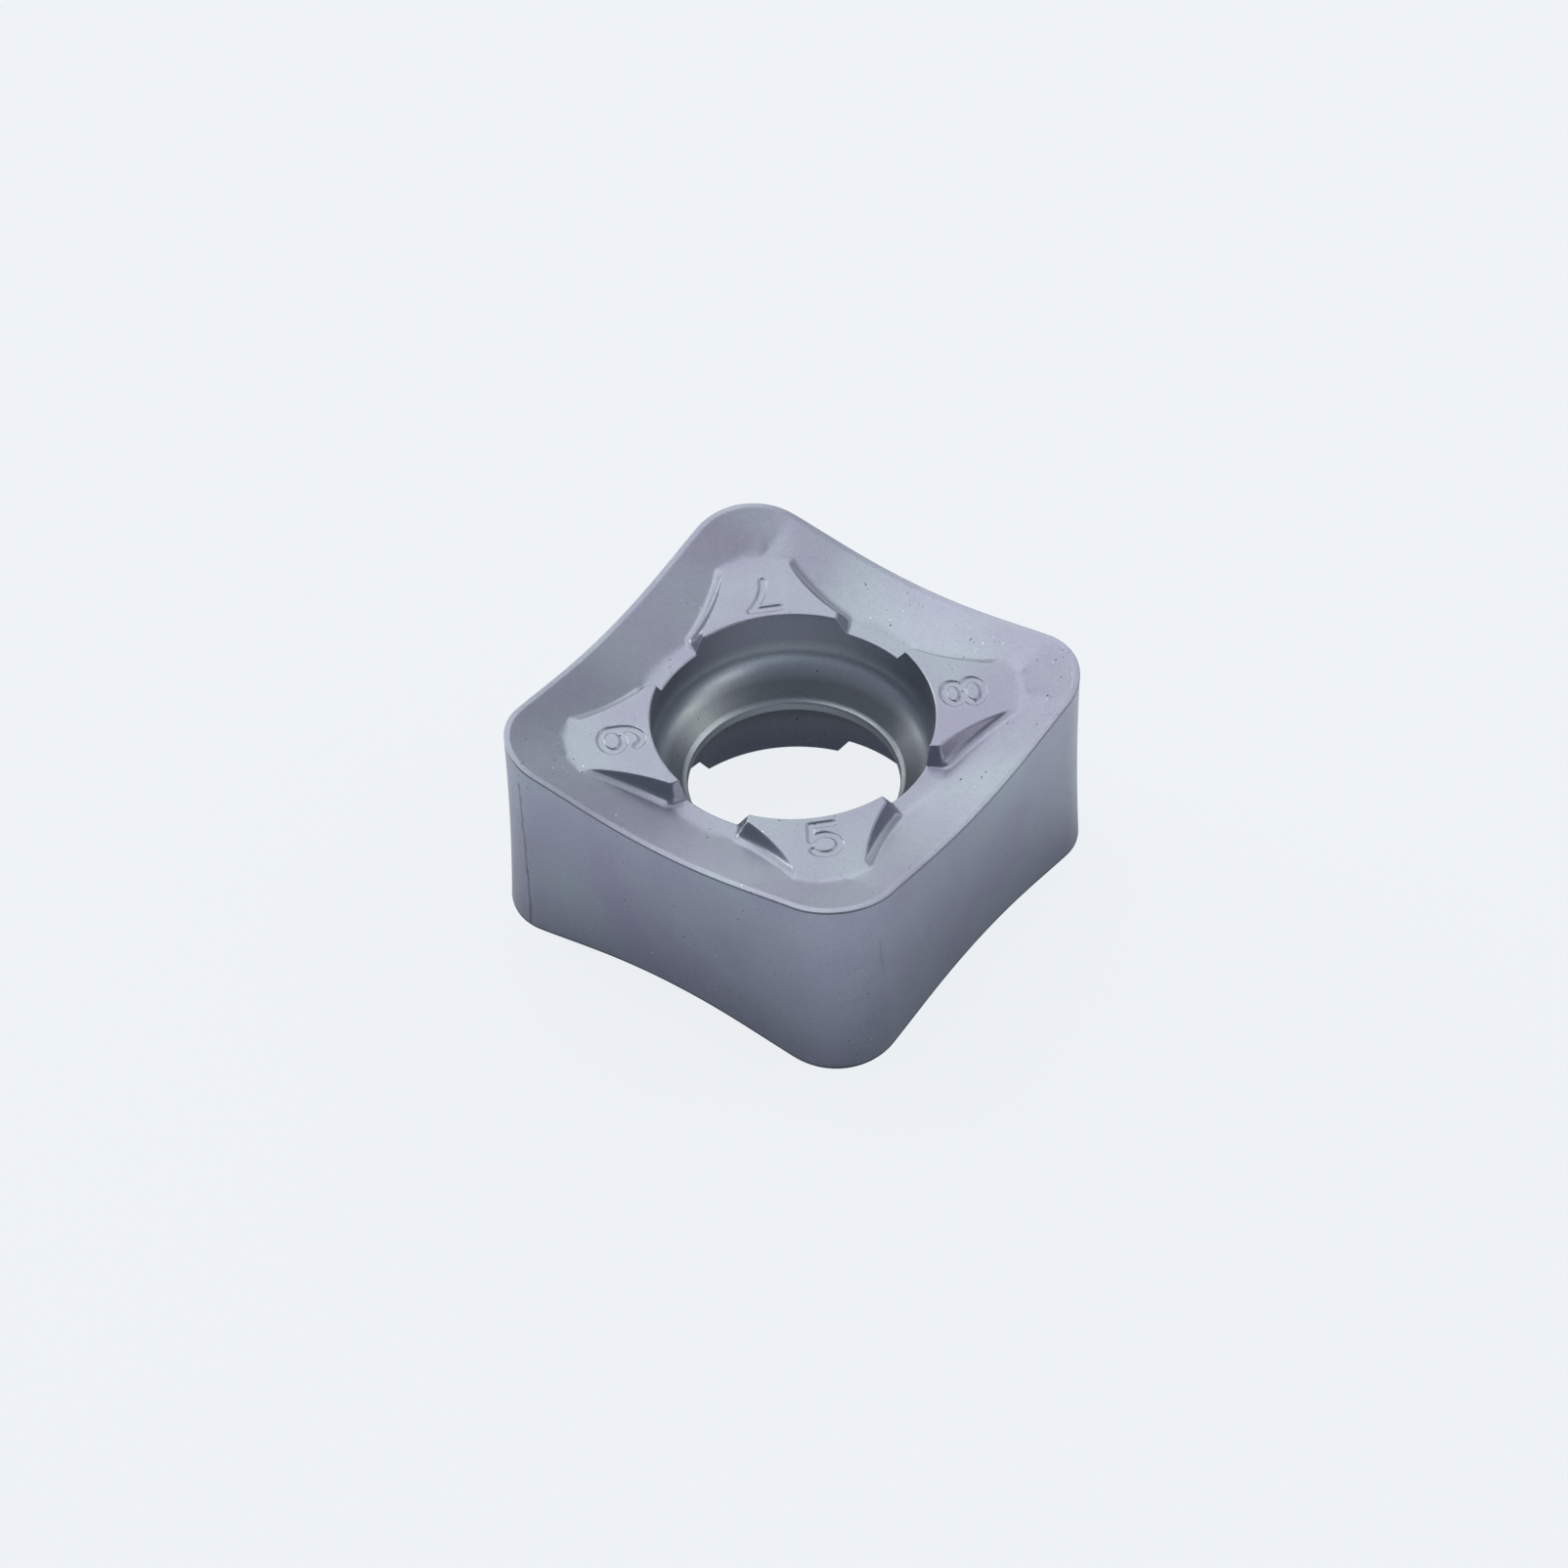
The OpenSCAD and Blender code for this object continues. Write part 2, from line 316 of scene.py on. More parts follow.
# Points at one distance from the pad's walls, along its hollow side and its end wall
def wallRow(plan, distance):
    sideStart = atan2(*(plan.shoulder - plan.sideCentre)[::-1])
    sideSweep = meshSizes["sideReach"] / plan.sideRadius
    radius = plan.sideRadius - distance
    steps = int(sideSweep * radius / meshSizes["wallStep"])
    turns = [sideStart + sideSweep * (i / steps - meshSizes["sideLead"]) for i in range(steps + 1)]
    row = [polarPoint(radius, turn, plan.sideCentre) for turn in turns]
    reach = np.arange(*meshSizes["endReach"], meshSizes["wallStep"])
    row += [tuple(plan.shoulder + plan.endNormal * distance + plan.endAlong * r) for r in reach]
    row = np.array(row)
    side, end = plan.wallDistances(row)
    return row[np.abs(np.maximum(side, end) - distance) < meshSizes["wallTolerance"]]


# Points of the slice's face: its outline first, then rows that follow each feature, then a fill
def facePoints(plan, sizes):
    kept = SpacedPoints(meshSizes["cell"])
    outline = faceOutline(plan, sizes)
    for point in outline:
        kept.add(point, 0.0)

    def addBothSides(x, y, gap):
        if inSlice(plan, sizes, x, y):
            kept.add((x, y), gap)
            kept.add((x, -y), gap)

    for inset in meshSizes["edgeRows"]:
        for run in edgeRuns(plan):
            point, inward = plan.edgePlace(run)
            kept.add(point + inward * inset, meshSizes["edgeGap"])

    for distance in meshSizes["rimRows"]:
        for angle in rimAngles(plan):
            radius = plan.rim + sizes["rimBreak"] + distance
            kept.add(polarPoint(radius, angle), meshSizes["rimGap"])

    # From just inside the pad's edge to the foot of its walls
    for distance in meshSizes["wallRows"]:
        for x, y in wallRow(plan, distance):
            addBothSides(x, y, meshSizes["wallGap"])

    # Beside the pad's toe, where its face runs out into the rake face
    reach = meshSizes["toeReach"]
    for run in np.arange(-reach, reach, meshSizes["toeStep"]):
        point, inward = plan.edgePlace(run)
        inset = toeInset(sizes, 1 - abs(run) / plan.edgeHalf)
        for distance in meshSizes["toeRows"]:
            kept.add(point + inward * (inset + distance), meshSizes["toeGap"])

    # A fine grid under the numeral
    step, scale = meshSizes["numeralStep"], numeralSizes["halfHeight"]
    halfWidth = numeralSizes["widthShare"] * scale
    reachOut = scale + numeralSizes["strokeWidth"] / 2 + meshSizes["numeralMargin"]
    reachSide = halfWidth + numeralSizes["strokeWidth"] / 2 + meshSizes["numeralMargin"]
    for x in np.arange(-reachOut, reachOut, step):
        for y in np.arange(-reachSide, reachSide, step):
            kept.add((numeralSizes["middleOut"] + x, y), meshSizes["numeralGapShare"] * step)

    fill = meshSizes["fillStep"]
    for x in np.arange(meshSizes["fillStart"], plan.cornerTip, fill):
        for y in np.arange(0.0, plan.half, fill):
            addBothSides(x, y, meshSizes["fillGapShare"] * fill)
    return kept.points, len(outline)


def inSlice(plan, sizes, x, y):
    margin = meshSizes["sliceMargin"]
    if hypot(x, y) < plan.rim + sizes["rimBreak"] + margin or x - abs(y) < margin:
        return False
    inset, share = plan.edgeDistances(np.array([[x, y]]))
    return inset[0] > sizes["honeRadius"] + margin


# Distance in from the edge at which the rake face comes down to the pad faces
def toeInset(sizes, share):
    rise = sizes["padDepth"] - edgeDrop(sizes, share)
    growth = ((1 - cos(pi * share)) / 2) ** sizes["rakeGrowth"]
    angle = sizes["sideRakeAngle"] + (sizes["cornerRakeAngle"] - sizes["sideRakeAngle"]) * growth
    landFall = sizes["landWidth"] * tan(radians(sizes["landAngle"]))
    return sizes["landWidth"] + max(rise - landFall, 0.0) / tan(radians(angle))


# How far the edge lies below the corner tips' height
def edgeDrop(sizes, share):
    wave = sizes["edgeDip"] * (1 + cos(pi * share)) / 2
    return wave + sizes["edgeSag"] * (1 - cos(2 * pi * share)) / 2


# Section of the hole from the rim down to the middle: radius, height, share that follows the face
# above, and drop under it
def holeRows(plan, sizes):
    rimBreak, fillet, rounding = sizes["rimBreak"], sizes["seatFillet"], sizes["ledgeRounding"]
    slope, ledge = radians(sizes["seatAngle"]), radians(sizes["ledgeAngle"])
    ledgeRadius = plan.waist + rounding * (1 - cos(ledge))
    ledgeZ = sizes["waistLength"] / 2 + rounding * sin(ledge)
    seatRadius = ledgeRadius + sizes["ledgeRun"] * sin(ledge)
    seatZ = ledgeZ + sizes["ledgeRun"] * cos(ledge)
    filletRadius = plan.rim - fillet * (1 - cos(slope))
    filletZ = seatZ + (filletRadius - seatRadius) / tan(slope)
    topZ = filletZ + fillet * sin(slope)
    rows = []
    for step in range(1, meshSizes["honeSteps"] + 1):
        turn = radians(90 * step / meshSizes["honeSteps"])
        rows.append((plan.rim + rimBreak * (1 - sin(turn)), 0.0, 1.0, rimBreak * (1 - cos(turn))))
    for follow in meshSizes["rimLevels"]:
        rows.append((plan.rim, topZ, follow, follow * rimBreak))
    for step in range(1, meshSizes["filletSteps"] + 1):
        turn = slope * step / meshSizes["filletSteps"]
        rows.append((plan.rim - fillet * (1 - cos(turn)), topZ - fillet * sin(turn), 0.0, 0.0))
    for level in meshSizes["seatLevels"]:
        radius = seatRadius + (filletRadius - seatRadius) * level
        rows.append((radius, seatZ + (filletZ - seatZ) * level, 0.0, 0.0))
    for step in range(meshSizes["ledgeSteps"], -1, -1):
        turn = ledge * step / meshSizes["ledgeSteps"]
        radius = plan.waist + rounding * (1 - cos(turn))
        rows.append((radius, sizes["waistLength"] / 2 + rounding * sin(turn), 0.0, 0.0))
    rows.append((plan.waist, 0.0, 0.0, 0.0))
    return rows


# Rows of the flank from the edge down to the middle: inset, share that follows the edge, and drop
def flankRows(sizes):
    hone = sizes["honeRadius"]
    rows = []
    for step in range(1, meshSizes["honeSteps"] + 1):
        turn = radians(90 * step / meshSizes["honeSteps"])
        rows.append((hone * (1 - sin(turn)), 1.0, hone * (1 - cos(turn))))
    for level in meshSizes["flankLevels"]:
        rows.append((sizes["flankWaist"] * (1 - level ** 2), level, level * hone))
    return rows


# One slice of the upper half as a flat plan with what each vertex needs to find its height
def buildSlice(sizes):
    plan = SlicePlan(sizes)
    points, outlineCount = facePoints(plan, sizes)
    print("slice points", len(points))
    ring, insideOnly = list(range(outlineCount)), 1
    found = delaunay_2d_cdt([Vector(p) for p in points], [], [ring], insideOnly,
                            meshSizes["triangleTolerance"])
    coords = [tuple(v) for v in found[0]]
    faces = [tuple(f) for f in found[2]]
    columns = {name: [] for name in sliceFields}

    def addColumns(sources, base, follow, drop):
        sources = np.array(sources)
        values = [*plan.edgeDistances(sources), *plan.wallDistances(sources)]
        values += [[value] * len(sources) for value in (base, follow, drop)]
        for name, value in zip(sliceFields, values):
            columns[name] += list(value)

    # A strip of quads from a row of face points down the flank or down the hole
    def addStrip(rows, sources, levels, flip):
        count, start = len(sources), len(coords)
        for row, level in zip(rows, levels):
            coords.extend(row)
            addColumns(sources, *level)
        for row in range(len(rows) - 1):
            for i in range(count - 1):
                a = start + row * count + i
                quad = (a, a + 1, a + 1 + count, a + count)
                faces.append(quad[::-1] if flip else quad)

    addColumns(coords, 0.0, 1.0, 0.0)
    places = [plan.edgePlace(run) for run in edgeRuns(plan)]
    rows = [(sizes["honeRadius"], 1.0, 0.0)] + flankRows(sizes)
    strip = [[tuple(p + n * inset) for p, n in places] for inset, follow, drop in rows]
    levels = [(0.0, follow, drop) for inset, follow, drop in rows]
    addStrip(strip, [p for p, n in places], levels, True)

    rows = [(plan.rim + sizes["rimBreak"], 0.0, 1.0, 0.0)] + holeRows(plan, sizes)
    strip = [[polarPoint(radius, a) for a in rimAngles(plan)] for radius, *level in rows]
    addStrip(strip, strip[0], [level for radius, *level in rows], False)

    mesh = bpy.data.meshes.new("insertSlice")
    mesh.from_pydata([(x * mm, y * mm, 0.0) for x, y in coords], [], faces)
    for name, values in columns.items():
        scale = 1.0 if name in ("share", "follow") else mm
        attribute = mesh.attributes.new(name, "FLOAT", "POINT")
        attribute.data.foreach_set("value", np.array(values, dtype=np.float32) * scale)
    strokes = numeralStrokes()
    for number in numeralSizes["upper"] + numeralSizes["lower"]:
        attribute = mesh.attributes.new("stroke%d" % number, "FLOAT", "POINT")
        distances = strokeDistances(np.array(coords), strokes[number]) * mm
        attribute.data.foreach_set("value", distances.astype(np.float32))
    return mesh


# Adds a node, applies its settings and fills its sockets with values or links
def addNode(tree, kind, sockets=None, **settings):
    node = tree.nodes.new(kind)
    for name, value in settings.items():
        setattr(node, name, value)
    for key, value in (sockets or {}).items():
        if isinstance(value, bpy.types.NodeSocket):
            tree.links.new(value, node.inputs[key])
        else:
            node.inputs[key].default_value = value
    return node


def mathNode(tree, operation, *values):
    return addNode(tree, "ShaderNodeMath", dict(enumerate(values)), operation=operation).outputs[0]


# A value carried from one range to another and held at its ends
def rangeNode(tree, value, source, target=(0.0, 1.0), interpolation="LINEAR"):
    sockets = {"Value": value, "From Min": source[0], "From Max": source[1],
               "To Min": target[0], "To Max": target[1]}
    return addNode(tree, "ShaderNodeMapRange", sockets, interpolation_type=interpolation).outputs[0]


def namedField(tree, name):
    node = addNode(tree, "GeometryNodeInputNamedAttribute", {"Name": name}, data_type="FLOAT")
    return node.outputs["Attribute"]


# Values of the pressed form's inputs, with lengths in metres and angles in radians
def formInputs(sizes):
    lengths = {
        "Half height": sizes["height"] / 2,
        "Edge dip": sizes["edgeDip"],
        "Edge sag": sizes["edgeSag"],
        "Land width": sizes["landWidth"],
        "Pad depth": sizes["padDepth"],
        "Valley depth": sizes["valleyDepth"],
        "Pad foot width": sizes["padFootWidth"],
        "Pad toe rise": sizes["padToeRise"],
        "Stroke width": numeralSizes["strokeWidth"],
        "Stroke wall run": numeralSizes["wallRun"],
        "Stroke depth": numeralSizes["depth"],
        "Weld distance": meshSizes["weldDistance"],
    }
    lengths.update(blendHeights)
    inputs = {name: value * mm for name, value in lengths.items()}
    for name in ("landAngle", "sideRakeAngle", "cornerRakeAngle", "padWallAngle", "padFootAngle",
                 "padEndSlope"):
        inputs[name] = radians(sizes[name])
    for name in ("rakeGrowth", "padHollowShare"):
        inputs[name] = sizes[name]
    return inputs


# Height of the face from the slice's distances in plan
def faceHeight(calc, given, fields):
    # The cutting edge: a wave that is high at the corner tips
    turn = calc("MULTIPLY", fields["share"], pi)
    wave = calc("MULTIPLY_ADD", calc("COSINE", turn), 0.5, 0.5)
    second = calc("MULTIPLY_ADD", calc("COSINE", calc("MULTIPLY", turn, 2.0)), -0.5, 0.5)
    edge = calc("SUBTRACT", given["Half height"], calc("MULTIPLY", wave, given["Edge dip"]))
    edge = calc("SUBTRACT", edge, calc("MULTIPLY", second, given["Edge sag"]))

    # Land, then the rake face, which steepens toward the corner and has no crease at its tip
    landSlope = calc("TANGENT", given["landAngle"])
    land = calc("SUBTRACT", edge, calc("MULTIPLY", fields["inset"], landSlope))
    growth = calc("POWER", calc("SUBTRACT", 1.0, wave), given["rakeGrowth"])
    steepening = calc("SUBTRACT", given["cornerRakeAngle"], given["sideRakeAngle"])
    rakeSlope = calc("TANGENT", calc("MULTIPLY_ADD", steepening, growth, given["sideRakeAngle"]))
    landEnd = calc("SUBTRACT", edge, calc("MULTIPLY", given["Land width"], landSlope))
    behind = calc("SUBTRACT", fields["inset"], given["Land width"])
    rake = calc("SUBTRACT", landEnd, calc("MULTIPLY", behind, rakeSlope))
    rake = calc("SMOOTH_MIN", land, rake, given["Land blend"])

    # Valley floor and pad face
    padZ = calc("SUBTRACT", given["Half height"], given["Pad depth"])
    valleyZ = calc("SUBTRACT", padZ, given["Valley depth"])
    ground = calc("SMOOTH_MAX", rake, valleyZ, given["Valley blend"])
    # The pad's side walls: steep from the pad face down, then a gentle foot of even width that
    # stands on the ground and so runs on to the toe where the steep part has run out
    wallSlope = calc("TANGENT", given["padWallAngle"])
    footSlope = calc("TANGENT", given["padFootAngle"])
    footRise = calc("MULTIPLY", given["Pad foot width"], footSlope)
    steepRise = calc("SUBTRACT", calc("SUBTRACT", padZ, ground), footRise)
    footEnd = calc("ADD", calc("DIVIDE", steepRise, wallSlope), given["Pad foot width"])
    footReach = calc("SUBTRACT", footEnd, fields["sideWall"])
    footZ = calc("MULTIPLY_ADD", footReach, footSlope, ground)
    steepZ = calc("SUBTRACT", padZ, calc("MULTIPLY", fields["sideWall"], wallSlope))
    hollow = calc("MULTIPLY", calc("MAXIMUM", steepRise, 0.0), given["padHollowShare"])
    sideZ = calc("SMOOTH_MAX", steepZ, footZ, hollow)
    endZ = calc("SUBTRACT", padZ, calc("MULTIPLY", fields["endWall"],
                                       calc("TANGENT", given["padEndSlope"])))
    walls = calc("SMOOTH_MIN", sideZ, endZ, given["Pad ridge blend"])
    pad = calc("SMOOTH_MIN", walls, padZ, given["Pad edge blend"])
    # Away from its walls, at the toe, the pad runs out softly into the rake face
    aboveWalls = calc("DIVIDE", calc("SUBTRACT", walls, padZ), given["Pad toe rise"])
    toeShare = calc("MINIMUM", calc("MAXIMUM", aboveWalls, 0.0), 1.0)
    softer = calc("SUBTRACT", given["Pad toe blend"], given["Pad foot blend"])
    footBlend = calc("MULTIPLY_ADD", softer, toeShare, given["Pad foot blend"])
    return calc("SMOOTH_MAX", ground, pad, footBlend)


# The rule of the pressed form: heights from the plan's distances, then eight slices made one body
def pressedFormTree(inputs, material):
    tree = bpy.data.node_groups.new("pressedForm", "GeometryNodeTree")
    tree.interface.new_socket("Slice", in_out="INPUT", socket_type="NodeSocketGeometry")
    for name in inputs:
        tree.interface.new_socket(name, in_out="INPUT", socket_type="NodeSocketFloat")
    tree.interface.new_socket("Body", in_out="OUTPUT", socket_type="NodeSocketGeometry")
    given = addNode(tree, "NodeGroupInput").outputs
    fields = {name: namedField(tree, name) for name in sliceFields}
    calc = partial(mathNode, tree)
    face = faceHeight(calc, given, fields)

    # Each slice gets its own sunk numeral and is turned into place; the lower four are turned over
    halfWidth = calc("MULTIPLY", given["Stroke width"], 0.5)
    floorEdge = calc("SUBTRACT", halfWidth, given["Stroke wall run"])
    position = addNode(tree, "ShaderNodeSeparateXYZ",
                       {0: addNode(tree, "GeometryNodeInputPosition").outputs[0]}).outputs
    joined = addNode(tree, "GeometryNodeJoinGeometry")
    for over, numbers in ((0.0, numeralSizes["upper"]), (pi, numeralSizes["lower"])):
        for quarter, number in enumerate(numbers):
            stroke = namedField(tree, "stroke%d" % number)
            sunk = rangeNode(tree, stroke, (floorEdge, halfWidth), (given["Stroke depth"], 0.0),
                             "SMOOTHSTEP")
            above = calc("SUBTRACT", calc("SUBTRACT", face, sunk), fields["base"])
            height = calc("MULTIPLY_ADD", above, fields["follow"], fields["base"])
            height = calc("SUBTRACT", height, fields["drop"])
            place = addNode(tree, "ShaderNodeCombineXYZ",
                            {"X": position["X"], "Y": position["Y"], "Z": height})
            raised = addNode(tree, "GeometryNodeSetPosition",
                             {"Geometry": given["Slice"], "Position": place.outputs[0]})
            instance = addNode(tree, "GeometryNodeGeometryToInstance",
                               {"Geometry": raised.outputs[0]})
            turned = addNode(tree, "GeometryNodeTransform", {
                "Geometry": instance.outputs[0],
                "Rotation": (over, 0.0, pi / 4 + quarter * pi / 2)})
            tree.links.new(turned.outputs[0], joined.inputs[0])
    real = addNode(tree, "GeometryNodeRealizeInstances", {"Geometry": joined.outputs[0]})
    welded = addNode(tree, "GeometryNodeMergeByDistance",
                     {"Geometry": real.outputs[0], "Distance": given["Weld distance"]})
    smooth = addNode(tree, "GeometryNodeSetShadeSmooth", {"Geometry": welded.outputs[0]})
    again = addNode(tree, "GeometryNodeRealizeInstances", {"Geometry": smooth.outputs[0]})
    coated = addNode(tree, "GeometryNodeSetMaterial",
                     {"Geometry": again.outputs[0], "Material": material})
    addNode(tree, "NodeGroupOutput", {"Body": coated.outputs[0]})
    return tree


def buildInsert(material):
    piece = bpy.data.objects.new("insertBody", buildSlice(insertSizes))
    piece.data.materials.append(material)
    bpy.context.collection.objects.link(piece)
    inputs = formInputs(insertSizes)
    form = piece.modifiers.new("pressedForm", "NODES")
    form.node_group = pressedFormTree(inputs, material)
    for item in form.node_group.interface.items_tree:
        if item.in_out == "INPUT" and item.name in inputs:
            form[item.identifier] = inputs[item.name]
    evaluated = piece.evaluated_get(bpy.context.evaluated_depsgraph_get())
    finished = bpy.data.meshes.new_from_object(evaluated)
    piece.modifiers.remove(form)
    piece.data = finished
    # The material reads "follow", so only that field stays
    for name in [attribute.name for attribute in finished.attributes]:
        if name != "follow" and (name in sliceFields or name.startswith("stroke")):
            finished.attributes.remove(finished.attributes[name])
    return piece


# sRGB hex colour as linear values
def linearColour(hexCode, alpha=1.0):
    values = [int(hexCode[i:i + 2], 16) / 255 for i in (1, 3, 5)]
    return [v / 12.92 if v <= 0.04045 else ((v + 0.055) / 1.055) ** 2.4 for v in values] + [alpha]


# Cemented tungsten carbide under a PVD titanium aluminium nitride coating, as deposited: a satin
# violet grey metal that follows the fine grain of the sintered skin. The hole is painted lighter and
# bluer in bands of painted light and shade, and the flanks carry painted shade. Sizes, heights and
# radii are in millimetres; the ranges are of a noise's values.
coatingLook = {
    "violet": "#8c8da4",
    "blue": "#9098a8",
    "toneSize": 3.0,
    "toneRange": (0.35, 0.65),
    "metallic": 0.9,
    "roughness": (0.3, 0.39),
    "grainSize": 0.04,
    "grainHeight": 0.0035,
    "grainRange": (0.3, 0.7),
    "mottleSize": 0.09,
    "mottleLevels": (0.93, 1.07),
    "patchSize": 1.6,
    "patchRange": (0.4, 0.62),
    "patchLevels": (0.38, 1.0),
    # Painted shade on the flanks: a colour level from bottom to top standing in for the floor's
    # reflection, and a painted dark shade line under the edge
    "flankRadius": 5.5,
    "flankShadeSpan": (-2.6, 2.6),
    "flankLevels": (0.9, 1.4),
    "edgeLine": (0.982, 0.9995),
    "edgeShadeShare": 0.65,
    # The hole's bands of painted light and shade, with painted shade below the waist
    "bore": "#c6ceda",
    "boreRadii": (4.03, 4.01),
    "boreEndHeights": (1.75, 1.35),
    "boreEndShare": 0.35,
    "lowerBoreShadeHeights": (-0.2, -0.1),
    "lowerBoreShadeLevel": 0.42,
    "seat": "#8a9199",
    "seatTopHeights": (0.95, 0.55),
    "seatFootHeights": (0.15, 0.25),
    "seatFootShare": 0.5,
}

# Pin holes of the sintered skin and painted highlights beside them, glints on their rims: the spacing of
# the cells that may hold one, the largest radius and the share of the cells without any
pinholeLook = {"colour": "#2c2e37", "spacing": 0.17, "radius": 0.03, "bare": 0.3, "full": 0.95,
               "shift": 0.0, "depth": 0.01}
paintedGlintLook = {"colour": "#dfe3ea", "spacing": 0.18, "radius": 0.026, "bare": 0.38, "full": 1.0,
                   "shift": 7.3}

# Faint upright rub marks on the flanks: the axis that they are seen along, the side they lie on,
# and their two ends in the other horizontal axis and Z
rubMarks = [
    {"along": "Y", "side": -4.2, "from": (-4.97, 2.4), "to": (-4.72, -2.95), "width": 0.12,
     "waver": 0.09, "strength": 0.5},
    {"along": "X", "side": 4.2, "from": (-4.83, 1.5), "to": (-4.7, 0.1), "width": 0.08,
     "waver": 0.05, "strength": 0.25},
]

# Lengths of a rub mark's bends and breaks, and how far its width falls
rubLook = {"bendSize": 0.9, "breakSize": 0.2, "breakRange": (0.35, 0.7), "leastWidth": 0.3}


def inMetres(lengths):
    return [length * mm for length in lengths]


def noiseNode(tree, coords, size, detail, roughness=0.5):
    return addNode(tree, "ShaderNodeTexNoise", {
        "Vector": coords, "Scale": 1 / (size * mm), "Detail": detail, "Roughness": roughness}).outputs[0]


def vectorNode(tree, operation, *vectors):
    return addNode(tree, "ShaderNodeVectorMath", dict(enumerate(vectors)), operation=operation).outputs


def scaledVector(tree, vector, scale):
    node = addNode(tree, "ShaderNodeVectorMath", {0: vector, "Scale": scale}, operation="SCALE")
    return node.outputs["Vector"]


def mixColour(tree, share, first, second):
    node = addNode(tree, "ShaderNodeMix", {"Factor": share, "A": first, "B": second}, data_type="RGBA")
    return node.outputs["Result"]


def emptyMaterial(name):
    material = bpy.data.materials.new(name)
    material.use_nodes = True
    material.node_tree.nodes.clear()
    return material, material.node_tree


# Share of a round spot in each cell of a random pattern, with clusters where the patches are
def spotShare(tree, coords, patches, look):
    smallest, fadeFrom = 0.001, 0.7
    place = vectorNode(tree, "ADD", coords, inMetres([look["shift"]] * 3))["Vector"]
    cells = addNode(tree, "ShaderNodeTexVoronoi", {
        "Vector": place, "Scale": 1 / mm / look["spacing"]}).outputs
    chance = addNode(tree, "ShaderNodeSeparateColor", {"Color": cells["Color"]}).outputs[0]
    chosen = mathNode(tree, "MULTIPLY", chance, patches)
    size = rangeNode(tree, chosen, (look["bare"], look["full"]),
                     (smallest, look["radius"] / look["spacing"]))
    ratio = mathNode(tree, "DIVIDE", cells["Distance"], size)
    return rangeNode(tree, ratio, (fadeFrom, 1.0), (1.0, 0.0))


# Share of a rub mark at a place, from the distance to its line in the plane that it is seen in.
# Noise makes the line waver and breaks it up.
def rubShare(tree, axes, coords, mark):
    calc = partial(mathNode, tree)
    across = "X" if mark["along"] == "Y" else "Y"
    start, end = Vector(mark["from"]) * mm, Vector(mark["to"]) * mm
    line, waver = end - start, mark["waver"] * mm
    bends = noiseNode(tree, coords, rubLook["bendSize"], 3.0, 0.6)
    sideways = calc("MULTIPLY_ADD", bends, 2 * waver, axes[across])
    flat = addNode(tree, "ShaderNodeCombineXYZ", {"X": sideways, "Y": axes["Z"]}).outputs[0]
    place = vectorNode(tree, "SUBTRACT", flat, (start.x + waver, start.y, 0.0))["Vector"]
    run = vectorNode(tree, "DOT_PRODUCT", place, (*(line / line.length_squared), 0.0))["Value"]
    held = addNode(tree, "ShaderNodeClamp", {"Value": run}).outputs[0]
    gap = vectorNode(tree, "DISTANCE", place, scaledVector(tree, (*line, 0.0), held))["Value"]
    breaks = noiseNode(tree, coords, rubLook["breakSize"], 2.0)
    width = rangeNode(tree, breaks, rubLook["breakRange"],
                      inMetres((rubLook["leastWidth"] * mark["width"], mark["width"])))
    faded = rangeNode(tree, calc("DIVIDE", gap, width), (0.0, 1.0), (mark["strength"], 0.0),
                      "SMOOTHSTEP")
    compare = "GREATER_THAN" if mark["side"] > 0 else "LESS_THAN"
    return calc("MULTIPLY", faded, calc(compare, axes[mark["along"]], mark["side"] * mm))


# The flanks: painted shade and reflection, lighter toward the upper edge and darker toward the bottom in
# place of the floor's reflection and the insert's contact shadow, with a thin painted dark shade line
# right under each edge. The mesh carries the share of the way up to the edge.
def flankPaintedShade(tree, axes, radius, colour):
    look, calc = coatingLook, partial(mathNode, tree)
    outside = calc("GREATER_THAN", radius, look["flankRadius"] * mm)
    follow = addNode(tree, "ShaderNodeAttribute", attribute_name="follow").outputs["Fac"]
    onFlank = calc("MULTIPLY", outside, calc("LESS_THAN", follow, look["edgeLine"][1]))
    # Painted shade and reflection: the flank's colour is scaled from darker at the bottom to lighter at
    # the top
    level = rangeNode(tree, axes["Z"], inMetres(look["flankShadeSpan"]), look["flankLevels"])
    colour = mixColour(tree, onFlank, colour, scaledVector(tree, colour, level))
    # Painted shade: a thin dark line right under the edge
    atEdge = calc("MULTIPLY", onFlank, calc("GREATER_THAN", follow, look["edgeLine"][0]))
    lineShare = calc("MULTIPLY", atEdge, look["edgeShadeShare"])
    return mixColour(tree, lineShare, colour, linearColour(pinholeLook["colour"]))


# The hole: painted light and shade in bands, a painted highlight lighter on the fillets, less so on the
# tapered seats and on the wide ends, and painted shade darker below the waist
def boreLightAndShade(tree, axes, radius, colour):
    look, calc = coatingLook, partial(mathNode, tree)
    height = calc("ABSOLUTE", axes["Z"])
    underFillet = rangeNode(tree, height, inMetres(look["seatTopHeights"]))
    overWaist = rangeNode(tree, height, inMetres(look["seatFootHeights"]), (look["seatFootShare"], 1.0))
    hole = mixColour(tree, calc("MULTIPLY", underFillet, overWaist), linearColour(look["bore"]),
                     linearColour(look["seat"]))
    # Painted shade: the hole below the waist is darkened, standing in for the shade under the insert
    level = rangeNode(tree, axes["Z"], inMetres(look["lowerBoreShadeHeights"]), (look["lowerBoreShadeLevel"], 1.0))
    inHole = rangeNode(tree, radius, inMetres(look["boreRadii"]))
    belowEnd = rangeNode(tree, height, inMetres(look["boreEndHeights"]), (look["boreEndShare"], 1.0))
    return mixColour(tree, calc("MULTIPLY", inHole, belowEnd), colour, scaledVector(tree, hole, level))


